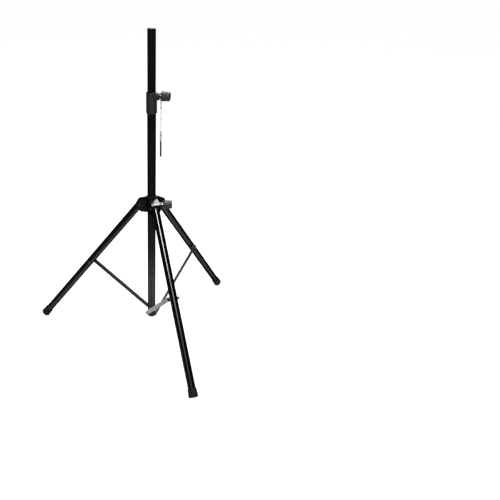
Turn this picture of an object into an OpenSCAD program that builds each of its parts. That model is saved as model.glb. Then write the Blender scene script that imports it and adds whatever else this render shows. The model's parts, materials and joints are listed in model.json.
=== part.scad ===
// Speaker tripod stand: a telescopic pole on three folding legs.
// The origin lies on the floor, on the axis of the pole. The clamp knobs point to +X.

/* [Pole] */
// Outer diameter of the fixed lower tube
lower_tube_d = 38; // [36:0.5:42]
// Wall of the lower tube
lower_wall = 1.2; // [1:0.1:1.3]
// Outer diameter of the sliding upper tube, the speaker socket size
upper_tube_d = 35; // [34:0.5:35]
// Wall of the upper tube
upper_wall = 1.5; // [1.2:0.1:2.5]
// Height of the top of the pole above the floor
pole_top_z = 1422; // [1370:1:1440]
// Length of the upper tube without its caps
upper_tube_len = 1117; // [1050:1:1150]
// Height of the lower end of the lower tube
lower_tube_z = 100; // [96:1:104]
// Distance between the pin holes of the upper tube
pin_hole_pitch = 100; // [60:5:100]

/* [Collar] */
// Outer diameter of the clamp collar
collar_d = 46; // [46:0.5:50]
// Height of the clamp collar
collar_h = 87; // [80:1:90]
// Height of the lower edge of the collar above the floor
collar_z = 1088.5; // [1085:0.5:1100]
// Angle of the collar's knob, seen from above
collar_turn = -6; // [-8:1:-6]

/* [Hub] */
// Distance of the leg pivots from the pole axis
pivot_r = 51; // [50:0.5:53]
// Outer width of each of the three hub lobes
lobe_w = 41; // [40:0.5:42]
// Angle of the hub's knob, seen from above
hub_knob_turn = 10; // [10:1:14]

/* [Legs] */
// Outer diameter of the leg tubes
leg_tube_d = 34; // [32:0.5:34]
// Length of a leg from its pivot to the end of its foot
leg_len = 844.5; // [800:0.1:870]
// Angle between an open leg and the pole
leg_tilt = 37.9; // [36:0.1:39]
// Distance from the leg pivot to the brace bolt
brace_at = 413.2; // [405:0.1:420]

/* [Braces] */
// Width of the flat brace strap
brace_w = 20; // [16:0.5:22]
// Thickness of the flat brace strap
brace_t = 3; // [2.5:0.25:3]
// Distance from the leg's axis to the middle of the strap, sideways
brace_side = 24.5; // [24.5:0.5:26]
// Height of the lower brace pivots above the floor
brace_z = 90.5; // [90:0.5:92]

/* [Knobs] */
// Diameter of the clamp knobs at their base
knob_d = 41; // [38:1:42]
// Diameter of the clamp knobs at their outer end
knob_end_d = 38; // [34:1:38]
// Length of the clamp knobs
knob_len = 35; // [30:1:37]

/* [Lanyard] */
// Diameter of the steel wire
cable_d = 2; // [1.5:0.1:2.2]
// Diameter of the locking pin
pin_d = 7.5; // [6:0.5:7.5]

/* [Hidden] */
$fn = 72;

// Plan angles of the three legs
LEFT = 180;
FRONT = 300;
REAR = 60;
LEGS = [LEFT, FRONT, REAR];

// Gaps: a running fit, a fixed gap between moving faces and a cutting allowance
run_gap = 0.05;
face_gap = 0.3;
cut = 1;

// Tubes
lower_r = lower_tube_d / 2;
lower_in = lower_r - lower_wall;
upper_r = upper_tube_d / 2;
upper_in = upper_r - upper_wall;
leg_r = leg_tube_d / 2;
leg_wall = 1.5;
leg_in = leg_r - leg_wall;

// Pole ends
pole_cap_h = 3;
upper_top = pole_top_z - pole_cap_h;
upper_bottom = upper_top - upper_tube_len;
glide_h = 12;
glide_stem = 30;
pin_hole_r = 4;
pin_hole_low = 752;
pin_holes = 5;
pole_cap_bevel = 0.8;
pole_cap_skirt = 18;

// Shallow height mark round the upper tube, just above the collar
mark_z = collar_z + collar_h + 0.5;
mark_h = 2.5;
mark_depth = 0.3;

// Collar
collar_r = collar_d / 2;
collar_top = collar_z + collar_h;
lower_top = collar_top - 23;
collar_knob_z = collar_top - 13.5;
collar_boss_r = 12.2;
collar_boss_end = 36.5;
collar_web_drop = 6;
collar_web_end = 32.5;
collar_skirt_x = 38.5;
collar_knob_x = 44;
bush_r = 21;
rivet_r = 2;
rivet_head_r = 4;
rivet_z = collar_z + 22;

// Screws of the clamp knobs, with metric 8 thread, and the bores behind them
screw_r = 4;
screw_hold = 14;
shoe_r = 5;
shoe_h = 3;
bore_start = 15;
shoe_room = 28;

// Knobs
knob_r = knob_d / 2;
knob_end_r = knob_end_d / 2;
knob_rim = 5;
knob_dish = 7;
skirt_r = 9;
flutes = 30;
flute_r = 1.5;
flute_out = 0.8;

// Foot
foot_r = 21.5;
foot_top_r = 19.6;
foot_h = 38;
foot_round = 4;
foot_floor = 6;
foot_drop = (foot_r - foot_round) * sin(leg_tilt) + foot_round * (1 - cos(leg_tilt));

// Hub
pivot_z = foot_drop + leg_len * cos(leg_tilt);
hub_r = 24.5;
hub_low = pivot_z - 35;
hub_top = pivot_z + 35;
hub_flange_h = 3;
hub_bush_r = 21;
lobe_round = 20;
lobe_shoulder = [20, 29.5];
lobe_heel = [47, -33.5];
cheek_gap = leg_tube_d + 1;
hood_in = 14.8;
hood_lip = 25;
slot_wall = 18.5;
slot_reach = 60;
hub_knob_z = pivot_z - 3;
hub_boss_r = 10;
hub_boss_end = 48;
hub_skirt_x = 50.5;
hub_knob_x = 58.5;
pivot_bolt_r = 4;
pivot_bolt_tail = 7;
leg_start = 9;
insert_len = 60;
end_r = hood_in - 0.5;
insert_bore = 8;
insert_tip = 16;

// Bolt heads and nuts
head_r = 7;
head_h = 4.5;
low_head_r = 6;
low_head_h = 3;
nut_r = 7.4;
nut_h = 6;
nut_tail = 3;

// Brace pivots: the upper one on the open leg, and the strap's length and angle between them
brace_up_r = pivot_r + brace_at * sin(leg_tilt);
brace_up_z = pivot_z - brace_at * cos(leg_tilt);
brace_len = norm([brace_up_r, brace_up_z - brace_z]);
brace_tilt = atan2(brace_up_r, brace_up_z - brace_z);
brace_in = brace_side - brace_t / 2;
brace_out = brace_side + brace_t / 2;
brace_bolt_r = 4;
bolt_depth = 12;
saddle_r = 9.5;
spacer_r = 9;
bracket_low = 76;
bracket_plug = 30;
bracket_peg_r = 6;
bracket_peg_h = 6;
bracket_cap_h = 6;

// Lanyard: heights of its pieces, and its place on the neck of the collar's screw
lanyard_r = 41.2;
eye_r = 11;
eye_drop = 0.9;
ferrule_z = 1114;
ferrule_h = 9;
stop_z = 1065;
stop_h = 5;
stop_r = 1.8;
low_ferrule_z = 1010;
low_ferrule_h = 8;
ferrule_r = 2.4;
loop_r = 4;
ring_r = 10;
ring_wire_r = 1.5;
pin_len = 68;
pin_eye_r = 4.2;
pin_eye_wire_r = 1.2;
pin_neck = 3.2;

// Heights of the hanging loop, ring and pin, each resting in the one above it
loop_z = low_ferrule_z - low_ferrule_h / 2 - loop_r - 0.4;
ring_z = loop_z - loop_r + cable_d / 2 + ring_wire_r + 0.1 - ring_r;
pin_eye_z = ring_z - ring_r + ring_wire_r + pin_eye_wire_r + 0.1 - pin_eye_r;
pin_top_z = pin_eye_z - pin_eye_r - pin_neck + 0.5;

// Route of the wire below its upper ferrule, straight down under the weight of the pin
CABLE_ROUTE = [
    [0, 0, 1111], [0, 0, 1104], [0, 0, 1097], [0, 0, 1090], [0, 0, 1083], [0, 0, 1076],
    [0, 0, 1069], [0, 0, 1062], [0, 0, 1055], [0, 0, 1048], [0, 0, 1041], [0, 0, 1034],
    [0, 0, 1027], [0, 0, 1020], [0, 0, 1012]];

// Points of a circular arc about c, from angle a to angle b
function arc(c, r, a, b, n = 8) =
    [for (i = [0:n]) c + r * [cos(a + (b - a) * i / n), sin(a + (b - a) * i / n)]];

// Angle, seen from c, at which a line from p touches the circle of radius r about c
function touch_angle(p, c, r, side) = atan2(p[1] - c[1], p[0] - c[0]) + side * acos(r / norm(p - c));

// Frame of a leg: its pivot, with -Z down the open leg and -Y towards its strap
module on_leg(plan) rotate([0, 0, plan]) translate([pivot_r, 0, pivot_z])
    rotate([0, -leg_tilt, 0]) children();

// Frame of a brace: its lower pivot, with +Z up the strap
module on_brace(plan) rotate([0, 0, plan]) translate([0, 0, brace_z])
    rotate([0, brace_tilt, 0]) children();

// Cylinder along +Y from y0 to y1
module rod_y(r, y0, y1) translate([0, y0, 0]) rotate([-90, 0, 0]) cylinder(r = r, h = y1 - y0);

// Cylinder along +X from x0 to x1
module rod_x(r, x0, x1) translate([x0, 0, 0]) rotate([0, 90, 0]) cylinder(r = r, h = x1 - x0);

// Round tube standing on z0
module tube(r_out, r_in, z0, z1) translate([0, 0, z0]) difference() {
    cylinder(r = r_out, h = z1 - z0);
    translate([0, 0, -cut]) cylinder(r = r_in, h = z1 - z0 + 2 * cut);
}

// Button head with a chamfered rim and a hexagon socket, standing on z = 0
module button_head(r, h) difference() {
    union() {
        cylinder(r = r, h = h * 0.4);
        translate([0, 0, h * 0.4]) cylinder(r1 = r, r2 = r * 0.6, h = h * 0.6);
    }
    translate([0, 0, h * 0.4]) cylinder(r = r * 0.36, h = h, $fn = 6);
}

// Frame of the collar's screw axis, with +X out along the screw
module on_collar_screw() rotate([0, 0, collar_turn]) translate([0, 0, collar_knob_z]) children();

// Frame of the hub's screw axis
module on_hub_screw() rotate([0, 0, hub_knob_turn]) translate([0, 0, hub_knob_z]) children();

// ---- Fixed lower pole ----

module lower_tube() color([0.03, 0.03, 0.035]) tube(lower_r, lower_in, lower_tube_z, lower_top);

module collar_body() color([0.12, 0.12, 0.13]) difference() {
    union() {
        rotate_extrude() polygon([
            [0, collar_z], [collar_r - 2.5, collar_z], [collar_r, collar_z + 3],
            [collar_r, collar_top - 1.2], [collar_r - 1.2, collar_top], [0, collar_top]]);
        on_collar_screw() {
            rod_x(collar_boss_r, 0, collar_boss_end - 1);
            rod_x(collar_boss_r - 1, 0, collar_boss_end);
            // Web that deepens the boss next to the collar
            translate([0, 0, -collar_web_drop]) rod_x(collar_boss_r, 0, collar_web_end);
            translate([0, -collar_boss_r, -collar_web_drop])
                cube([collar_web_end, 2 * collar_boss_r, collar_web_drop]);
        }
    }
    translate([0, 0, collar_z - cut]) cylinder(r = lower_r, h = lower_top - collar_z + cut);
    translate([0, 0, lower_top - cut]) cylinder(r = bush_r, h = collar_top - lower_top + 2 * cut);
    on_collar_screw() {
        rod_x(screw_r, bore_start, collar_boss_end + cut);
        rod_x(shoe_r + face_gap, bore_start, shoe_room);
    }
    collar_rivet_frames() cylinder(r = rivet_r, h = collar_r + cut);
}

module collar_bush() color([0.2, 0.2, 0.2]) difference() {
    tube(bush_r, upper_r + run_gap, lower_top, collar_top);
    on_collar_screw() rod_x(shoe_r + face_gap, 0, shoe_room);
}

// Two blind rivets at the back hold the collar to the lower tube
module collar_rivet_frames() for (a = [75, 125]) rotate([0, 0, a]) translate([0, 0, rivet_z])
    rotate([0, 90, 0]) children();

module collar_rivets() color([0.1, 0.1, 0.1]) collar_rivet_frames() {
    translate([0, 0, lower_r]) cylinder(r = rivet_r, h = collar_r - lower_r);
    translate([0, 0, collar_r]) cylinder(r1 = rivet_head_r, r2 = rivet_head_r - 1.4, h = 1.6);
}

module bottom_bracket() color([0.05, 0.05, 0.05]) difference() {
    union() {
        translate([0, 0, bracket_low]) cylinder(r = lower_r, h = lower_tube_z - bracket_low);
        translate([0, 0, lower_tube_z]) cylinder(r = lower_in, h = bracket_plug);
        for (a = LEGS) on_bracket_axis(a) rod_y(spacer_r, face_gap - brace_in, 1 - bolt_depth);
    }
    for (a = LEGS) on_bracket_axis(a) rod_y(brace_bolt_r, -brace_out, -bolt_depth);
    translate([0, 0, bracket_low - cut]) cylinder(r = bracket_peg_r, h = bracket_peg_h + cut);
}

// Axis of a strap's lower bolt, along Y
module on_bracket_axis(plan) rotate([0, 0, plan]) translate([0, 0, brace_z]) children();

module bracket_cap() color([0.04, 0.04, 0.04]) {
    rotate_extrude() polygon(concat(
        [[0, bracket_low], [lower_r, bracket_low]],
        [for (a = [9:9:72]) [lower_r * cos(a), bracket_low - bracket_cap_h * sin(a)]],
        [[0, bracket_low - bracket_cap_h]]));
    translate([0, 0, bracket_low]) cylinder(r = bracket_peg_r, h = bracket_peg_h);
}

// Shoulder bolts on which the straps turn
module bracket_bolts() color([0.1, 0.1, 0.1]) for (a = LEGS) on_bracket_axis(a) {
    rod_y(brace_bolt_r, -brace_out - face_gap, -bolt_depth);
    translate([0, -brace_out - face_gap, 0]) rotate([90, 0, 0]) button_head(low_head_r, low_head_h);
}

// ---- Clamp screws ----

module shoe(face_r) rod_x(shoe_r, face_r, face_r + shoe_h);

// Screw from the shoe to the inside of its knob
module screw(face_r, knob_x) rod_x(screw_r - run_gap, face_r + shoe_h, knob_x + screw_hold);

// Fluted grip that tapers to a plain rim at its outer end, with a round skirt at its base
module knob(base, skirt_x) {
    taper = atan2(knob_r - knob_end_r, knob_len);
    translate([base, 0, 0]) rotate([0, 90, 0]) difference() {
        union() {
            rotate_extrude() polygon([
                [0, 0], [knob_r - 1, 0], [knob_r, 1.5], [knob_end_r, knob_len - 3],
                [knob_end_r - 1, knob_len - 1], [knob_end_r - 4, knob_len], [0, knob_len]]);
            translate([0, 0, skirt_x - base]) cylinder(r = skirt_r, h = base - skirt_x + 1);
        }
        for (i = [0:flutes - 1]) rotate([0, 0, i * 360 / flutes]) translate([knob_r + flute_out, 0, 0])
            rotate([0, -taper, 0]) translate([0, 0, -cut])
                cylinder(r = flute_r, h = knob_len - knob_rim + cut);
        translate([0, 0, skirt_x - base - cut])
            cylinder(r = screw_r - run_gap, h = base - skirt_x + cut + screw_hold);
        translate([0, 0, knob_len - 1]) cylinder(r = knob_end_r - knob_dish, h = 1 + cut);
    }
}

module collar_shoe() color([0.7, 0.6, 0.35]) on_collar_screw() shoe(upper_r + face_gap);
module collar_screw() color([0.6, 0.6, 0.6]) on_collar_screw() screw(upper_r + face_gap, collar_knob_x);
module collar_knob() color([0.2, 0.2, 0.21]) on_collar_screw() knob(collar_knob_x, collar_skirt_x);
module hub_shoe() color([0.7, 0.6, 0.35]) on_hub_screw() shoe(lower_r + face_gap);
module hub_screw() color([0.6, 0.6, 0.6]) on_hub_screw() screw(lower_r + face_gap, hub_knob_x);
module hub_knob() color([0.2, 0.2, 0.21]) on_hub_screw() knob(hub_knob_x, hub_skirt_x);

// ---- Sliding pole ----

// Plug that guides the lower end of the upper tube, which turns on its stem
module glide_plug() color([0.5, 0.5, 0.5]) {
    translate([0, 0, upper_bottom - glide_h]) cylinder(r = lower_in - run_gap, h = glide_h - face_gap);
    translate([0, 0, upper_bottom - face_gap - cut]) cylinder(r = upper_in - run_gap, h = glide_stem + cut);
}

module upper_tube() color([0.03, 0.03, 0.035]) difference() {
    tube(upper_r, upper_in, upper_bottom, upper_top);
    for (i = [0:pin_holes - 1]) translate([0, 0, pin_hole_low + i * pin_hole_pitch])
        rod_x(pin_hole_r, -upper_tube_d, upper_tube_d);
    tube(upper_r + cut, upper_r - mark_depth, mark_z, mark_z + mark_h);
}

module pole_cap() color([0.08, 0.08, 0.08]) {
    rotate_extrude() polygon([
        [0, upper_top], [upper_r, upper_top], [upper_r, pole_top_z - pole_cap_bevel],
        [upper_r - pole_cap_bevel, pole_top_z], [0, pole_top_z]]);
    tube(upper_in, upper_in - 2, upper_top - pole_cap_skirt, upper_top);
}

// ---- Hub ----

// Pivot of a leg, with its bolt along Y
module on_pivot(plan) rotate([0, 0, plan]) translate([pivot_r, 0, pivot_z]) children();

// Outline of a lobe in the plane of its leg, with the pivot at [pivot_r, 0]
module lobe_outline() {
    pivot = [pivot_r, 0];
    low = touch_angle(lobe_heel, pivot, lobe_round, 1);
    high = touch_angle(lobe_shoulder, pivot, lobe_round, -1);
    polygon(concat(
        [[lobe_shoulder[0], hub_low - pivot_z], lobe_heel],
        arc(pivot, lobe_round, low, high, 16),
        [lobe_shoulder]));
}

// Room in which the end of the leg turns between the two cheeks, under the hood
module lobe_slot() {
    wall = pivot_r - slot_wall;
    lip = [pivot_r, 0] + slot_reach * [cos(hood_lip), sin(hood_lip)];
    translate([pivot_r, 0]) circle(r = hood_in);
    polygon([[wall, 0], [wall, -slot_reach], [lip[0], -slot_reach], lip, [pivot_r, 0]]);
}

module lobe_extrude(width) translate([0, width / 2, pivot_z]) rotate([90, 0, 0])
    linear_extrude(width) children();

module hub_body() color([0.03, 0.03, 0.03]) difference() {
    union() {
        translate([0, 0, hub_low]) cylinder(r = hub_r, h = hub_top - hub_low);
        for (a = LEGS) rotate([0, 0, a]) difference() {
            lobe_extrude(lobe_w) lobe_outline();
            lobe_extrude(cheek_gap) lobe_slot();
        }
        on_hub_screw() rod_x(hub_boss_r, 0, hub_boss_end);
    }
    translate([0, 0, hub_low - cut]) cylinder(r = hub_bush_r, h = hub_top - hub_low + 2 * cut);
    for (a = LEGS) on_pivot(a) rod_y(pivot_bolt_r, -lobe_w, lobe_w);
    on_hub_screw() {
        rod_x(screw_r, bore_start, hub_boss_end + cut);
        rod_x(shoe_r + face_gap, bore_start, shoe_room);
    }
}

module hub_bush() color([0.1, 0.1, 0.1]) difference() {
    union() {
        tube(hub_bush_r, lower_r + run_gap, hub_low, hub_top + hub_flange_h);
        tube(hub_r - 0.5, hub_bush_r - cut, hub_top, hub_top + hub_flange_h);
    }
    on_hub_screw() rod_x(shoe_r + face_gap, 0, shoe_room);
}

// Pivot bolts of the legs, with their heads on the strap's side
module leg_bolts() color([0.12, 0.12, 0.12]) for (a = LEGS) on_pivot(a) {
    rod_y(pivot_bolt_r, -lobe_w / 2, lobe_w / 2 + pivot_bolt_tail);
    translate([0, -lobe_w / 2, 0]) rotate([90, 0, 0]) button_head(head_r, head_h);
}

module leg_bolt_nuts() color([0.12, 0.12, 0.12]) for (a = LEGS) on_pivot(a)
    translate([0, lobe_w / 2, 0]) rotate([-90, 0, 0]) difference() {
        cylinder(r = nut_r, h = nut_h, $fn = 6);
        translate([0, 0, -cut]) cylinder(r = pivot_bolt_r, h = nut_h + 2 * cut);
    }

// ---- Legs ----

module leg_tube(plan) color([0.03, 0.03, 0.035]) on_leg(plan) difference() {
    tube(leg_r, leg_in, foot_floor - leg_len, -leg_start);
    translate([0, 0, -brace_at]) rod_y(brace_bolt_r, -leg_tube_d, leg_tube_d);
}

// Plug in the top of the leg, with a rounded end that turns on the pivot bolt
module leg_insert(plan) color([0.15, 0.15, 0.15]) on_leg(plan) difference() {
    union() {
        translate([0, 0, -insert_len]) cylinder(r = leg_in, h = insert_len - leg_start);
        intersection() {
            translate([0, 0, -leg_start]) cylinder(r = leg_r, h = leg_start + leg_r);
            union() {
                rod_y(end_r, -leg_r, leg_r);
                translate([-end_r, -leg_r, -leg_start]) cube([2 * end_r, leg_tube_d, leg_start]);
            }
        }
    }
    rod_y(pivot_bolt_r + run_gap, -leg_tube_d, leg_tube_d);
    translate([0, 0, -insert_len - cut]) cylinder(r = insert_bore, h = insert_len - insert_tip + cut);
}

module leg_foot(plan) color([0.06, 0.06, 0.06]) on_leg(plan) translate([0, 0, -leg_len])
    rotate_extrude() polygon(concat(
        [[0, 0]],
        arc([foot_r - foot_round, foot_round], foot_round, -90, 0),
        [[foot_top_r, foot_h - 3], [foot_top_r + 0.6, foot_h - 2], [foot_top_r, foot_h],
         [leg_r, foot_h], [leg_r, foot_floor], [0, foot_floor]]));

// Saddle on the leg that gives the strap a flat face to turn on
module leg_saddle(plan) color([0.1, 0.1, 0.1]) on_leg(plan) translate([0, 0, -brace_at]) difference() {
    rod_y(saddle_r, face_gap - brace_in, -bolt_depth);
    translate([0, 0, -leg_r]) cylinder(r = leg_r, h = leg_tube_d);
    rod_y(brace_bolt_r, 1 - brace_in, 0);
}

// Stud through the leg, with a nut and a domed tip on the side away from the strap
module leg_nut(plan) color([0.1, 0.1, 0.1]) on_leg(plan) translate([0, 0, -brace_at]) {
    tip = leg_r + nut_h + nut_tail;
    rod_y(brace_bolt_r, 1 - brace_in, tip);
    translate([0, leg_r, 0]) rotate([-90, 0, 0]) cylinder(r = nut_r, h = nut_h, $fn = 6);
    translate([0, tip, 0]) rotate([-90, 0, 0]) cylinder(r1 = brace_bolt_r, r2 = brace_bolt_r / 2, h = 2);
}

// ---- Braces ----

module brace(plan) color([0.05, 0.05, 0.05]) on_brace(plan) difference() {
    union() {
        for (z = [0, brace_len]) translate([0, 0, z]) rod_y(brace_w / 2, -brace_out, -brace_in);
        translate([-brace_w / 2, -brace_out, 0]) cube([brace_w, brace_t, brace_len]);
    }
    rod_y(brace_bolt_r + run_gap, -brace_out - cut, cut - brace_in);
    translate([0, 0, brace_len]) rod_y(brace_bolt_r, -brace_out - cut, cut - brace_in);
}

// Head of the brace bolt, which rides on the strap
module brace_bolt(plan) color([0.1, 0.1, 0.1]) on_brace(plan) translate([0, 0, brace_len]) {
    rod_y(brace_bolt_r, -brace_out, -brace_in);
    translate([0, -brace_out, 0]) rotate([90, 0, 0]) button_head(head_r, head_h);
}

// ---- Lanyard and locking pin ----

// Frame of the lanyard, under the neck of the collar's screw
module on_lanyard() rotate([0, 0, collar_turn]) translate([lanyard_r, 0, 0]) children();

// Ring of round wire that stands in the plane across the screw
module upright_ring(r, wire_r) rotate([0, 90, 0]) rotate_extrude()
    translate([r, 0]) circle(r = wire_r, $fn = 24);

// Long loop of wire round the screw's neck, down to the upper ferrule
module lanyard_eye() color([0.6, 0.6, 0.58]) on_lanyard() {
    top = collar_knob_z - eye_drop;
    low = ferrule_z + ferrule_h / 2;
    spread = eye_r - cable_d / 2;
    slant = atan2(spread, top - low);
    room = 2 * eye_r + 2 * cable_d;
    difference() {
        translate([0, 0, top]) upright_ring(eye_r, cable_d / 2);
        translate([-room / 2, -room / 2, top - room]) cube(room);
    }
    difference() {
        for (side = [-1, 1]) translate([0, side * eye_r, top]) rotate([180 - side * slant, 0, 0])
            cylinder(r = cable_d / 2, h = norm([spread, top - low]) + cable_d, $fn = 24);
        translate([-room / 2, -room / 2, low - room]) cube(room);
    }
}

// Round tube along a route, as one closed skin
module route_tube(route, r, sides = 8) {
    rings = len(route);
    points = [for (p = route, s = [0:sides - 1]) p + r * [cos(s * 360 / sides), sin(s * 360 / sides), 0]];
    walls = [for (k = [0:rings - 2], s = [0:sides - 1])
        let (n = (s + 1) % sides) [k * sides + s, k * sides + n, (k + 1) * sides + n, (k + 1) * sides + s]];
    polyhedron(points, concat(
        walls, [[for (s = [sides - 1:-1:0]) s]], [[for (s = [0:sides - 1]) (rings - 1) * sides + s]]));
}

module lanyard_cable() color([0.62, 0.6, 0.56]) on_lanyard() route_tube(CABLE_ROUTE, cable_d / 2);

module lanyard_ferrules() color([0.45, 0.45, 0.45]) on_lanyard() {
    difference() {
        union() {
            translate([0, 0, ferrule_z - ferrule_h / 2]) cylinder(r = ferrule_r, h = ferrule_h);
            translate([0, 0, stop_z - stop_h / 2]) cylinder(r = stop_r, h = stop_h);
            translate([0, 0, low_ferrule_z - low_ferrule_h / 2]) cylinder(r = ferrule_r, h = low_ferrule_h);
        }
        translate([0, 0, low_ferrule_z + 2]) cylinder(r = cable_d / 2, h = ferrule_z - low_ferrule_z - 5);
    }
    // Small loop of wire under the lower ferrule
    translate([0, 0, loop_z]) rotate([0, 0, 90]) upright_ring(loop_r, cable_d / 2);
}

module lanyard_ring() color([0.15, 0.13, 0.1]) on_lanyard() translate([0, 0, ring_z])
    upright_ring(ring_r, ring_wire_r);

// Brass eye in the head of the pin, hanging in the ring
module pin_eye() color([0.75, 0.6, 0.25]) on_lanyard() {
    translate([0, 0, pin_eye_z]) rotate([0, 0, 90]) upright_ring(pin_eye_r, pin_eye_wire_r);
    translate([0, 0, pin_top_z]) cylinder(r = 2, h = pin_neck);
}

module locking_pin() color([0.05, 0.05, 0.05]) on_lanyard() translate([0, 0, pin_top_z - pin_len]) {
    translate([0, 0, 1]) cylinder(r = pin_d / 2, h = pin_len - 1);
    cylinder(r1 = pin_d / 2 - 1, r2 = pin_d / 2, h = 1);
}

lower_tube();
collar_body();
collar_bush();
collar_rivets();
bottom_bracket();
bracket_cap();
bracket_bolts();
collar_shoe();
collar_knob();
collar_screw();
glide_plug();
upper_tube();
pole_cap();
hub_body();
hub_bush();
leg_bolts();
leg_bolt_nuts();
hub_shoe();
hub_knob();
hub_screw();
leg_tube(LEFT);  // leg_tube_left
leg_insert(LEFT);  // leg_insert_left
leg_foot(LEFT);  // leg_foot_left
leg_saddle(LEFT);  // leg_saddle_left
leg_nut(LEFT);  // leg_nut_left
leg_tube(FRONT);  // leg_tube_front
leg_insert(FRONT);  // leg_insert_front
leg_foot(FRONT);  // leg_foot_front
leg_saddle(FRONT);  // leg_saddle_front
leg_nut(FRONT);  // leg_nut_front
leg_tube(REAR);  // leg_tube_rear
leg_insert(REAR);  // leg_insert_rear
leg_foot(REAR);  // leg_foot_rear
leg_saddle(REAR);  // leg_saddle_rear
leg_nut(REAR);  // leg_nut_rear
brace(LEFT);  // brace_left
brace_bolt(LEFT);  // brace_bolt_left
brace(FRONT);  // brace_front
brace_bolt(FRONT);  // brace_bolt_front
brace(REAR);  // brace_rear
brace_bolt(REAR);  // brace_bolt_rear
lanyard_eye();
lanyard_cable();
lanyard_ferrules();
lanyard_ring();
pin_eye();
locking_pin();
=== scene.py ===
"""Speaker tripod stand: materials, wire lanyard, floor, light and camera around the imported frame."""
import json
import math

import bmesh
import bpy
from mathutils import Matrix, Vector


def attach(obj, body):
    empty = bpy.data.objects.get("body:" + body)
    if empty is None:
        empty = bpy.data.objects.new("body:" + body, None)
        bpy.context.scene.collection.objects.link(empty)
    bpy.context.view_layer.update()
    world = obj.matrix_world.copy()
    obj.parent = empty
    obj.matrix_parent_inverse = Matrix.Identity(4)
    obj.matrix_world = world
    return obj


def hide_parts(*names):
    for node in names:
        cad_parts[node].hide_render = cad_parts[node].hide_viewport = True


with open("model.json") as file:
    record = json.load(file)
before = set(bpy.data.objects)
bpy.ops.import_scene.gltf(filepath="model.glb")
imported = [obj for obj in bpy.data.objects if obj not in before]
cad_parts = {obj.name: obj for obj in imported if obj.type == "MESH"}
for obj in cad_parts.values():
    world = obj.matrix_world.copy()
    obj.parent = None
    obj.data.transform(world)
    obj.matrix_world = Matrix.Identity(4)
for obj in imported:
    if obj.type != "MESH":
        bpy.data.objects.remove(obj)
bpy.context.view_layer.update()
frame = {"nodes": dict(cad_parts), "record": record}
NODES = frame["nodes"]

# ---- Camera: a normal lens at eye height, shifted so that the stand sits left of the middle ----

CAMERA_DISTANCE = 2.434
CAMERA_HEIGHT = 1.7005
CAMERA_AZIMUTH = math.radians(11.6)
CAMERA_PITCH = math.radians(28.8)
CAMERA_LENS = 41.6
CAMERA_SHIFT = (0.1968, 0.0292)
SENSOR_WIDTH = 36.0
CLIP_END = 200.0


def make_camera():
    data = bpy.data.cameras.new("camera")
    data.lens = CAMERA_LENS
    data.sensor_width = SENSOR_WIDTH
    data.shift_x, data.shift_y = CAMERA_SHIFT
    data.clip_end = CLIP_END
    camera = bpy.data.objects.new("camera", data)
    camera.location = (
        CAMERA_DISTANCE * math.sin(CAMERA_AZIMUTH),
        -CAMERA_DISTANCE * math.cos(CAMERA_AZIMUTH),
        CAMERA_HEIGHT,
    )
    camera.rotation_euler = (math.pi / 2 - CAMERA_PITCH, 0.0, CAMERA_AZIMUTH)
    bpy.context.scene.collection.objects.link(camera)
    bpy.context.scene.camera = camera


make_camera()

# ---- Node helpers ----


class Nodes:
    """A material's node tree, with short calls that add and link nodes."""

    def __init__(self, name):
        self.material = bpy.data.materials.new(name)
        self.material.use_nodes = True
        self.tree = self.material.node_tree
        self.shader = self.tree.nodes["Principled BSDF"]
        self.position = self.add("ShaderNodeTexCoord").outputs["Object"]

    def add(self, kind, **values):
        node = self.tree.nodes.new(kind)
        for key, value in values.items():
            setattr(node, key, value)
        return node

    def put(self, socket, value):
        """Links an output to the socket, or sets a constant on it."""
        if isinstance(value, bpy.types.NodeSocket):
            self.tree.links.new(value, socket)
        else:
            socket.default_value = value

    def shade(self, **values):
        """Sets sockets of the shader, named with underscores for spaces."""
        for key, value in values.items():
            self.put(self.shader.inputs[key.replace("_", " ")], value)

    def scaled(self, scale):
        """The position, stretched by a scale for each axis."""
        node = self.add("ShaderNodeMapping")
        self.put(node.inputs["Vector"], self.position)
        node.inputs["Scale"].default_value = scale
        return node.outputs["Vector"]

    def noise(self, scale, detail=3.0, rough=0.5, vector=None):
        node = self.add("ShaderNodeTexNoise")
        self.put(node.inputs["Vector"], vector or self.position)
        node.inputs["Scale"].default_value = scale
        node.inputs["Detail"].default_value = detail
        node.inputs["Roughness"].default_value = rough
        return node.outputs["Fac"]

    def cells(self, scale):
        """Distance from the middle of the nearest of many small cells."""
        node = self.add("ShaderNodeTexVoronoi")
        self.put(node.inputs["Vector"], self.position)
        node.inputs["Scale"].default_value = scale
        return node.outputs["Distance"]

    def map(self, value, low, high, to_low=0.0, to_high=1.0):
        """The value, moved from one range to another and held inside it."""
        node = self.add("ShaderNodeMapRange")
        for index, number in enumerate((value, low, high, to_low, to_high)):
            self.put(node.inputs[index], number)
        return node.outputs["Result"]

    def math(self, operation, a, b=0.0):
        node = self.add("ShaderNodeMath", operation=operation)
        self.put(node.inputs[0], a)
        self.put(node.inputs[1], b)
        return node.outputs["Value"]

    def mix(self, factor, a, b):
        """Colour a where the factor is 0 and b where it is 1."""
        node = self.add("ShaderNodeMix", data_type="RGBA")
        self.put(node.inputs["Factor"], factor)
        self.put(node.inputs[6], a)
        self.put(node.inputs[7], b)
        return node.outputs[2]

    def bump(self, height, distance, normal=None):
        node = self.add("ShaderNodeBump")
        node.inputs["Strength"].default_value = 1.0
        node.inputs["Distance"].default_value = distance
        self.put(node.inputs["Height"], height)
        if normal is not None:
            self.put(node.inputs["Normal"], normal)
        return node.outputs["Normal"]


def rgba(red, green, blue):
    return (red, green, blue, 1.0)


def grey(level):
    return rgba(level, level, level)


def shade_of(colour, factor):
    """A colour, made lighter or darker by a factor."""
    return rgba(*[c * factor for c in colour])


# ---- Materials ----

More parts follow.
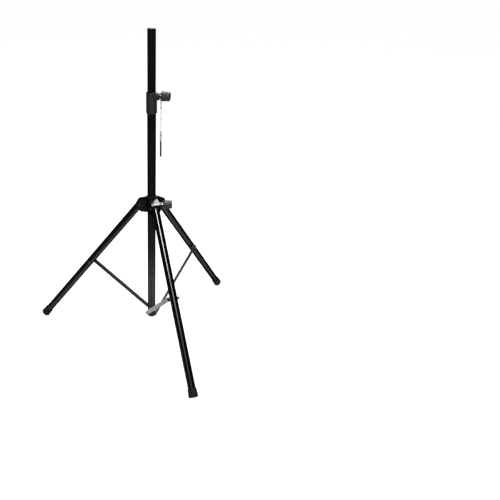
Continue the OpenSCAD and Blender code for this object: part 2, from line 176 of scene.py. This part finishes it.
WORN_PAINT = rgba(0.16, 0.16, 0.16)
BARE_NICK = rgba(0.25, 0.24, 0.23)
SCUFFED = rgba(0.16, 0.155, 0.15)
SCUFF_HEIGHT = 0.018


def gloss_paint(name, colour, rough, peel, edge):
    """Baked black enamel that mirrors weakly and stays dark at its edges.

    It has orange peel, faint dust specks and hairline scratches along the part.
    """
    n = Nodes(name)
    wave = n.noise(190.0, 2.0)
    fine = n.noise(1500.0, 2.0)
    hairs = n.noise(60.0, 4.0, 0.7, n.scaled((18.0, 18.0, 0.5)))
    scratch = n.map(hairs, 0.66, 0.74)
    cloud = n.noise(9.0, 3.0)
    specks = n.map(n.cells(900.0), 0.06, 0.02)
    dusty = n.math("MULTIPLY", specks, n.map(cloud, 0.45, 0.65))
    tone = n.mix(n.map(cloud, 0.35, 0.65), rgba(*colour), shade_of(colour, 1.2))
    tone = n.mix(n.math("MULTIPLY", scratch, 0.3), tone, shade_of(colour, 1.9))
    tone = n.mix(n.math("MULTIPLY", dusty, 0.5), tone, shade_of(colour, 2.4))
    roughness = n.map(cloud, 0.3, 0.7, rough * 0.8, rough * 1.25)
    roughness = n.math("ADD", roughness, n.math("MULTIPLY", scratch, 0.1))
    roughness = n.math("ADD", roughness, n.math("MULTIPLY", dusty, 0.3))
    normal = n.bump(wave, 0.00012 * peel)
    normal = n.bump(fine, 0.00001 * peel, normal=normal)
    n.shade(Base_Color=tone, Roughness=roughness, Normal=normal)
    n.shade(Metallic=1.0, Specular_Tint=grey(edge))
    return n.material


def enamel(name, colour, rough, peel):
    """Thick black enamel on flat bar, which shines like glass at low angles."""
    n = Nodes(name)
    wave = n.noise(160.0, 2.0)
    cloud = n.noise(12.0, 3.0)
    wear = n.noise(260.0, 5.0, 0.7)
    tone = n.mix(n.map(cloud, 0.35, 0.65), rgba(*colour), shade_of(colour, 1.5))
    tone = n.mix(n.map(wear, 0.68, 0.78, 0.0, 0.3), tone, WORN_PAINT)
    roughness = n.map(cloud, 0.3, 0.7, rough * 0.8, rough * 1.25)
    n.shade(Base_Color=tone, Roughness=roughness, Normal=n.bump(wave, 0.00014 * peel), IOR=1.38)
    return n.material


def moulded_plastic(name, colour, rough, grain):
    """Moulded nylon with a spark-eroded texture, slightly worn shine and pale flow marks."""
    n = Nodes(name)
    pits = n.cells(1300.0)
    lumps = n.noise(700.0, 4.0, 0.65)
    flow = n.noise(24.0, 4.0, 0.6, n.scaled((1.0, 1.0, 0.4)))
    tone = n.mix(n.map(flow, 0.35, 0.7), rgba(*colour), shade_of(colour, 1.35))
    tone = n.mix(n.map(lumps, 0.45, 0.75, 0.0, 0.35), tone, shade_of(colour, 1.8))
    roughness = n.map(flow, 0.3, 0.7, rough * 0.9, rough * 1.12)
    normal = n.bump(pits, 0.00008 * grain)
    normal = n.bump(lumps, 0.00006 * grain, normal=normal)
    n.shade(Base_Color=tone, Roughness=roughness, Normal=normal, IOR=1.42)
    return n.material


def rubber(name, colour):
    """Matt rubber with a fine grain and pale scuffs low on the foot, where it rubs the floor."""
    n = Nodes(name)
    grain = n.noise(1100.0, 3.0, 0.6)
    scuffs = n.noise(120.0, 5.0, 0.7)
    split = n.add("ShaderNodeSeparateXYZ")
    n.put(split.inputs[0], n.position)
    low = n.map(split.outputs["Z"], SCUFF_HEIGHT, 0.0)
    worn = n.math("MULTIPLY", low, n.map(scuffs, 0.45, 0.62))
    tone = n.mix(n.map(grain, 0.4, 0.7), rgba(*colour), shade_of(colour, 1.5))
    tone = n.mix(n.math("MULTIPLY", worn, 0.45), tone, SCUFFED)
    roughness = n.map(grain, 0.3, 0.7, 0.6, 0.78)
    normal = n.bump(grain, 0.00009)
    n.shade(Base_Color=tone, Roughness=roughness, Normal=normal, IOR=1.28)
    return n.material


def plated_metal(name, colour, rough, scale=(1.0, 1.0, 0.1)):
    """Plated or turned metal with fine tool lines, stains and small bright nicks."""
    n = Nodes(name)
    lines = n.noise(2600.0, 3.0, 0.6, n.scaled(scale))
    stains = n.noise(180.0, 4.0, 0.6)
    tone = n.mix(n.map(stains, 0.35, 0.7), rgba(*colour), shade_of(colour, 0.55))
    roughness = n.map(n.math("ADD", lines, stains), 0.7, 1.3, rough * 0.75, rough * 1.3)
    normal = n.bump(lines, 0.00003)
    n.shade(Base_Color=tone, Roughness=roughness, Normal=normal, Metallic=1.0)
    return n.material


def blackened_steel(name, colour, rough):
    """Black oxide on steel, with brown tints and bare metal showing in small nicks."""
    n = Nodes(name)
    grain = n.noise(900.0, 3.0, 0.6)
    tint = n.noise(140.0, 3.0)
    nicks = n.map(n.cells(420.0), 0.1, 0.05)
    brown = rgba(colour[0] * 1.9, colour[1] * 1.6, colour[2] * 1.4)
    tone = n.mix(n.map(tint, 0.4, 0.7), rgba(*colour), brown)
    tone = n.mix(n.math("MULTIPLY", nicks, 0.25), tone, BARE_NICK)
    roughness = n.map(grain, 0.3, 0.7, rough * 0.8, rough * 1.2)
    normal = n.bump(grain, 0.00005)
    n.shade(Base_Color=tone, Roughness=roughness, Normal=normal, Specular_IOR_Level=0.6, IOR=1.45)
    return n.material


FINISHES = {
    "gloss_black": gloss_paint("gloss_black", (0.034, 0.0345, 0.0335), 0.16, 1.0, 0.12),
    "strap_black": enamel("strap_black", (0.006, 0.006, 0.007), 0.24, 1.4),
    "hub_black": gloss_paint("hub_black", (0.034, 0.034, 0.0345), 0.22, 1.6, 0.12),
    "collar_plastic": moulded_plastic("collar_plastic", (0.010, 0.010, 0.011), 0.55, 1.0),
    "soft_plastic": moulded_plastic("soft_plastic", (0.009, 0.009, 0.009), 0.5, 0.6),
    "knob_plastic": moulded_plastic("knob_plastic", (0.016, 0.016, 0.021), 0.5, 1.2),
    "zinc_steel": plated_metal("zinc_steel", (0.62, 0.61, 0.58), 0.28),
    "black_steel": blackened_steel("black_steel", (0.014, 0.014, 0.014), 0.36),
    "brass": plated_metal("brass", (0.82, 0.60, 0.24), 0.26),
    "rubber": rubber("rubber", (0.004, 0.004, 0.004)),
    "wire": plated_metal("wire", (0.60, 0.54, 0.45), 0.32, (1.0, 1.0, 1.0)),
    "ferrule": plated_metal("ferrule", (0.52, 0.51, 0.49), 0.34),
    "ring_steel": plated_metal("ring_steel", (0.055, 0.042, 0.030), 0.38, (1.0, 1.0, 1.0)),
    "pin_black": blackened_steel("pin_black", (0.011, 0.008, 0.004), 0.34),
}


def finish_nodes():
    """Gives every node of the frame the material of its slot."""
    for part in frame["record"]["subparts"]:
        node = NODES[part["node"]]
        node.data.materials.clear()
        node.data.materials.append(FINISHES[part["material_slot"]])


finish_nodes()

# ---- Wire lanyard: a stranded steel wire along the route of the CAD cable ----

LANYARD_X = 0.0412
COLLAR_TURN = math.radians(-6.0)
WIRE_D = 0.002
WIRE_HEIGHTS = (
    1.111, 1.104, 1.097, 1.090, 1.083, 1.076, 1.069, 1.062,
    1.055, 1.048, 1.041, 1.034, 1.027, 1.020, 1.012,
)
STRANDS = 6
STRAND_SIDES = 6
TWIST_PITCH = 0.011
STEPS_PER_TURN = 12


def wire_route():
    """Points down the middle of the hanging wire, from the upper ferrule to the lower one."""
    turn = Matrix.Rotation(COLLAR_TURN, 3, "Z")
    return [turn @ Vector((LANYARD_X, 0.0, z)) for z in WIRE_HEIGHTS]


def stranded_wire(name, route, diameter):
    """Strands wound round a core along a straight route, as one mesh."""
    strand_r = diameter / 6
    mesh = bpy.data.meshes.new(name)
    bm = bmesh.new()
    length = sum((b - a).length for a, b in zip(route, route[1:]))
    steps = round(length / TWIST_PITCH * STEPS_PER_TURN)
    start, along = route[0], (route[-1] - route[0]).normalized()
    side = along.orthogonal().normalized()
    other = along.cross(side)
    for strand in range(STRANDS + 1):
        offset = 0.0 if strand == STRANDS else 2 * strand_r
        rings = []
        for step in range(steps + 1):
            t = length * step / steps
            turn = 2 * math.pi * (strand / STRANDS + t / TWIST_PITCH)
            centre = start + along * t + offset * (side * math.cos(turn) + other * math.sin(turn))
            ring = []
            for k in range(STRAND_SIDES):
                a = 2 * math.pi * k / STRAND_SIDES
                ring.append(bm.verts.new(centre + strand_r * (side * math.cos(a) + other * math.sin(a))))
            rings.append(ring)
        for low, high in zip(rings, rings[1:]):
            for k in range(STRAND_SIDES):
                m = (k + 1) % STRAND_SIDES
                bm.faces.new((low[k], low[m], high[m], high[k])).smooth = True
        bm.faces.new(reversed(rings[0]))
        bm.faces.new(rings[-1])
    bmesh.ops.recalc_face_normals(bm, faces=bm.faces)
    bm.to_mesh(mesh)
    bm.free()
    wire = bpy.data.objects.new(name, mesh)
    wire.data.materials.append(FINISHES["wire"])
    bpy.context.scene.collection.objects.link(wire)
    return wire


def make_lanyard():
    """The stranded wire, attached to the lanyard body in place of the CAD cable, which it hides."""
    route = wire_route()
    wire = stranded_wire("lanyard_wire", route, WIRE_D)
    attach(wire, "lanyard")
    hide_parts("lanyard_cable")


make_lanyard()

# ---- Floor, backdrop and lights ----

FLOOR_SIZE = 60.0
LIT_FLOOR_SIZE = 7.0
BACKDROP_R = 29.0
# Painted pool of light on the lit floor: how pale its colour is at a distance from the pole, in metres
FLOOR_PAINTED_LIGHT = ((0.5, 0.72), (0.85, 0.21), (2.0, 0.13), (3.5, 0.28))
LIT_FLOOR_DROP = 0.002
FLOOR_SHADE = 0.22
PALE = 0.985
# How strongly the studio walls shine level with the floor and overhead, and how steep a line ends the fade
WALL_LOW, WALL_HIGH = 0.14, 0.035
WALL_FADE_END = 0.35
# Name, place, point it faces, size and power in watts
LIGHTS = (
    ("top_light", (0.1, 0.82, 2.3), (0.1, 0.82, 0.0), (1.0, 0.9), 100.0),
    ("front_light", (0.60, -2.4, 3.2), (0.05, -0.1, 0.6), (0.8, 0.8), 102.0),
    ("middle_light", (0.80, -2.45, 2.5), (0.1, -0.2, 0.4), (0.8, 0.6), 13.0),
    ("low_light", (0.70, -2.5, 1.7), (0.2, -0.4, 0.2), (1.6, 1.0), 6.5),
)


def stage_object(name, bm, material):
    mesh = bpy.data.meshes.new(name)
    bm.to_mesh(mesh)
    bm.free()
    mesh.materials.append(material)
    item = bpy.data.objects.new(name, mesh)
    bpy.context.scene.collection.objects.link(item)
    return item


def square(size, height):
    bm = bmesh.new()
    place = Matrix.Translation((0, 0, height))
    bmesh.ops.create_grid(bm, x_segments=1, y_segments=1, size=size / 2, matrix=place)
    return bm


def hide_from(item, *kinds):
    """Takes an object out of some kinds of ray, such as "shadow"."""
    for kind in kinds:
        setattr(item, "visible_" + kind, False)


def floor_seen():
    """Pale floor that glows, so that it is even to the far edge. Only the camera sees it."""
    n = Nodes("floor_seen")
    n.shade(Base_Color=grey(FLOOR_SHADE), Roughness=1.0, Specular_IOR_Level=0.0)
    n.shade(Emission_Color=grey(1.0), Emission_Strength=PALE)
    floor = stage_object("floor", square(FLOOR_SIZE, 0.0), n.material)
    hide_from(floor, "diffuse", "glossy", "shadow")


def floor_lit():
    """The floor that lights the stand and shows in its paint, with a painted pool of light: its colour is
    pale round the stand and grey further out.
    """
    n = Nodes("floor_lit")
    reach = n.add("ShaderNodeVectorMath", operation="LENGTH")
    n.put(reach.inputs[0], n.position)
    # Painted pool of light: the floor's colour fades from pale to grey with distance from the pole
    tone = grey(FLOOR_PAINTED_LIGHT[0][1])
    for (near, _), (far, level) in zip(FLOOR_PAINTED_LIGHT, FLOOR_PAINTED_LIGHT[1:]):
        tone = n.mix(n.map(reach.outputs["Value"], near, far), tone, grey(level))
    n.shade(Base_Color=tone, Roughness=1.0, Specular_IOR_Level=0.0)
    floor = stage_object("floor_lit", square(LIT_FLOOR_SIZE, -LIT_FLOOR_DROP), n.material)
    hide_from(floor, "camera")


def backdrop():
    """A wide pale wall all round, seen only by the camera."""
    material = bpy.data.materials.new("backdrop")
    material.use_nodes = True
    nodes = material.node_tree.nodes
    nodes.remove(nodes["Principled BSDF"])
    glow = nodes.new("ShaderNodeEmission")
    glow.inputs["Strength"].default_value = PALE
    material.node_tree.links.new(glow.outputs[0], nodes["Material Output"].inputs["Surface"])
    bm = bmesh.new()
    bmesh.ops.create_uvsphere(bm, u_segments=48, v_segments=24, radius=BACKDROP_R)
    wall = stage_object("backdrop", bm, material)
    hide_from(wall, "diffuse", "glossy", "transmission", "shadow")


def area_light(name, place, aim, size, power):
    """A white soft box that the camera doesn't see."""
    data = bpy.data.lights.new(name, "AREA")
    data.shape = "RECTANGLE"
    data.size, data.size_y = size
    data.energy = power
    light = bpy.data.objects.new(name, data)
    light.location = place
    light.rotation_euler = (Vector(aim) - Vector(place)).to_track_quat("-Z", "Y").to_euler()
    hide_from(light, "camera")
    bpy.context.scene.collection.objects.link(light)


def make_world():
    """Dim studio walls, which are paler near the floor than overhead."""
    world = bpy.data.worlds.new("world")
    world.use_nodes = True
    nodes, links = world.node_tree.nodes, world.node_tree.links
    split = nodes.new("ShaderNodeSeparateXYZ")
    links.new(nodes.new("ShaderNodeTexCoord").outputs["Generated"], split.inputs[0])
    fade = nodes.new("ShaderNodeMapRange")
    links.new(split.outputs["Z"], fade.inputs[0])
    for index, number in enumerate((0.0, WALL_FADE_END, WALL_LOW, WALL_HIGH), start=1):
        fade.inputs[index].default_value = number
    background = nodes["Background"]
    background.inputs["Color"].default_value = grey(1.0)
    links.new(fade.outputs["Result"], background.inputs["Strength"])
    bpy.context.scene.world = world


floor_seen()
floor_lit()
backdrop()
make_world()
for light in LIGHTS:
    area_light(*light)

bpy.context.scene.view_settings.view_transform = "Standard"
bpy.context.scene.view_settings.look = "None"
